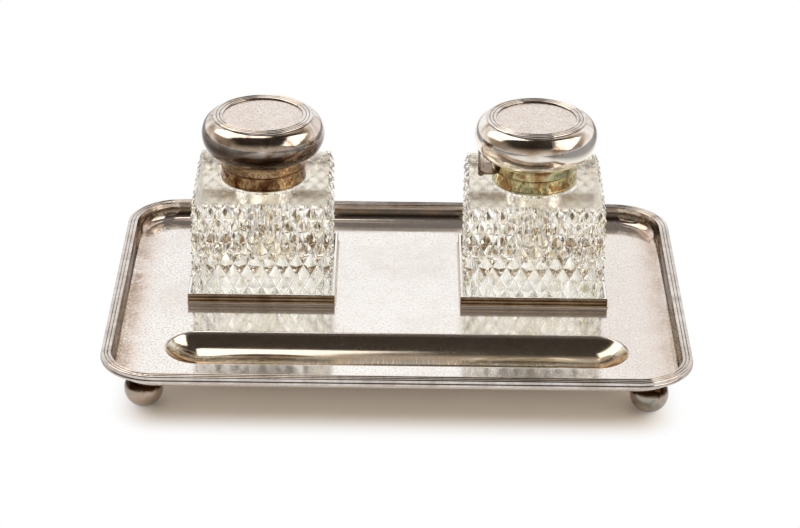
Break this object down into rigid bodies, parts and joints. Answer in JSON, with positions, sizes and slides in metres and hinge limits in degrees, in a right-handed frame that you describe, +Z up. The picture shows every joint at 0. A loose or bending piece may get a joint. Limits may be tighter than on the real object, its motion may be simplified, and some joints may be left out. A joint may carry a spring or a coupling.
{
  "type": "desk inkstand",
  "caption": "Oblong silver desk tray with a reeded border, a pen trough and ball feet, holding square diamond-cut glass inkwells with hinged bun-shaped lids.",
  "frame": {"origin": "on the table under the centre of the tray", "axes": "+X to the right along the tray, +Y from the pen trough towards the inkwells at the back, +Z up"},
  "size_m": [0.254, 0.178, 0.0964],
  "materials": {
    "plate_silver": "satin silver plate with faint tarnish",
    "border_silver": "reeded silver moulding, tarnished between the reeds",
    "foot_silver": "dark tarnished polished silver",
    "holder_silver": "reeded silver strip, brown with tarnish",
    "cut_glass": "clear diamond-cut lead glass",
    "plaster": "set plaster of Paris",
    "collar_silver": "golden brown tarnished silver",
    "lid_silver": "polished silver with brown tarnish, satin on its flat top",
    "lid_gilt": "silver-gilt lining",
    "hinge_silver": "tarnished silver"
  },
  "bodies": {
    "tray": {"tray_plate": "plate_silver", "tray_border": "border_silver", "foot_front_left": "foot_silver", "foot_front_right": "foot_silver", "foot_back_left": "foot_silver", "foot_back_right": "foot_silver", "left_holder": "holder_silver", "right_holder": "holder_silver"},
    "left_inkwell": {"left_bottle": "cut_glass", "left_neck_plaster": "plaster", "left_collar": "collar_silver", "left_collar_leaf": "hinge_silver", "left_hinge_pin": "hinge_silver"},
    "left_lid": {"left_lid_shell": "lid_silver", "left_lid_ring": "lid_silver", "left_lid_lining": "lid_gilt", "left_lid_leaf": "hinge_silver"},
    "right_inkwell": {"right_bottle": "cut_glass", "right_neck_plaster": "plaster", "right_collar": "collar_silver", "right_collar_leaf": "hinge_silver", "right_hinge_pin": "hinge_silver"},
    "right_lid": {"right_lid_shell": "lid_silver", "right_lid_ring": "lid_silver", "right_lid_lining": "lid_gilt", "right_lid_leaf": "hinge_silver"}
  },
  "joints": [
    {"name": "left_inkwell_lift", "type": "slide", "parent": "tray", "child": "left_inkwell", "axis": [0, 0, 1], "range_m": [0, 0.06]},
    {"name": "left_lid_hinge", "type": "hinge", "parent": "left_inkwell", "child": "left_lid", "pos_m": [-0.061, 0.0503, 0.07095], "axis": [-1, 0, 0], "range_deg": [0, 105]},
    {"name": "right_inkwell_lift", "type": "slide", "parent": "tray", "child": "right_inkwell", "axis": [0, 0, 1], "range_m": [0, 0.06]},
    {"name": "right_lid_hinge", "type": "hinge", "parent": "right_inkwell", "child": "right_lid", "pos_m": [0.0367, 0.026, 0.07095], "axis": [0, -1, 0], "range_deg": [0, 105]}
  ]
}
